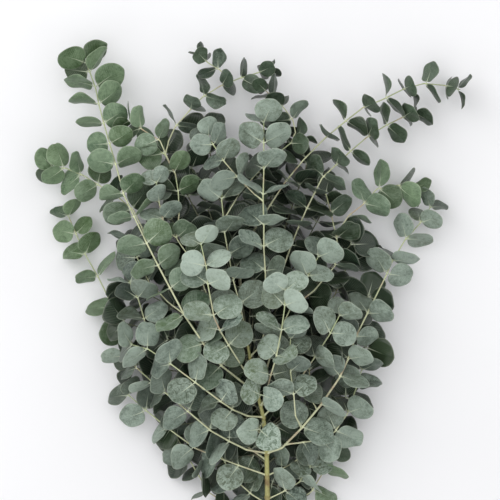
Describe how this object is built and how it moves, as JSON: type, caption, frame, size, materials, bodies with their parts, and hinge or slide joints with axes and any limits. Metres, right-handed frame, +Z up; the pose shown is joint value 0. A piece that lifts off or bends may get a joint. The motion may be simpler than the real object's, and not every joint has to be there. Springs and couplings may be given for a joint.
{
  "type": "eucalyptus branch",
  "caption": "Cut branch of silver dollar eucalyptus lying flat: a woody stem with spreading side shoots that carry opposite pairs of round grey-green leaves.",
  "frame": {"origin": "on the surface, under the middle of the branch's bounding box", "axes": "+X to the right and +Y from the cut end to the tips, seen from above; +Z up from the surface"},
  "size_m": [0.5498, 0.6506, 0.1477],
  "materials": {
    "bark": "yellow-brown young bark, matt, greener towards the tip",
    "twig": "smooth pale yellow-green twig bark with a faint waxy bloom",
    "leaf_pale": "leathery leaf under a thick grey-white waxy bloom, scuffed in spots, pale midrib",
    "leaf_grey": "leathery grey-green leaf with a waxy bloom, pale midrib",
    "leaf_fresh": "younger green leaf with little bloom, satin",
    "leaf_deep": "dark green leaf with little bloom, satin"
  },
  "bodies": {
    "root": {"main_stem": "bark", "shoot_leader": "leaf_grey", "shoot_left_long": "leaf_fresh", "shoot_right_outer": "leaf_grey", "shoot_left_bright": "leaf_grey", "shoot_right_mid": "leaf_grey", "shoot_left_mid": "leaf_grey", "shoot_left_lower": "leaf_grey", "shoot_right_lower": "leaf_grey", "shoot_bright_centre": "leaf_pale", "shoot_right_centre": "leaf_grey", "shoot_left_centre": "leaf_pale", "shoot_top_centre": "leaf_grey", "shoot_right_long": "leaf_deep", "shoot_floor_left": "leaf_fresh", "shoot_left_arch": "leaf_fresh", "shoot_left_side": "leaf_fresh", "shoot_top_side": "leaf_grey", "shoot_right_upper": "leaf_deep", "shoot_right_fan": "leaf_deep", "shoot_right_side": "leaf_fresh", "shoot_high_side": "leaf_deep", "shoot_top_left": "leaf_deep", "shoot_top_tip": "leaf_deep", "shoot_top_right": "leaf_deep", "shoot_left_top": "leaf_fresh", "shoot_left_pink": "leaf_grey", "shoot_right_curve": "leaf_grey", "shoot_right_inner": "leaf_grey", "shoot_right_short": "leaf_deep", "shoot_butt_left": "leaf_grey", "shoot_butt_bluish": "leaf_grey", "shoot_butt_right": "leaf_fresh", "shoot_butt_short": "leaf_grey", "shoot_left_inner": "leaf_grey", "shoot_left_drop": "leaf_grey", "shoot_low_heart": "leaf_pale", "shoot_high_heart": "leaf_pale", "shoot_under_left": "leaf_deep", "shoot_under_base": "leaf_deep", "shoot_under_right": "leaf_deep"}
  },
  "joints": []
}
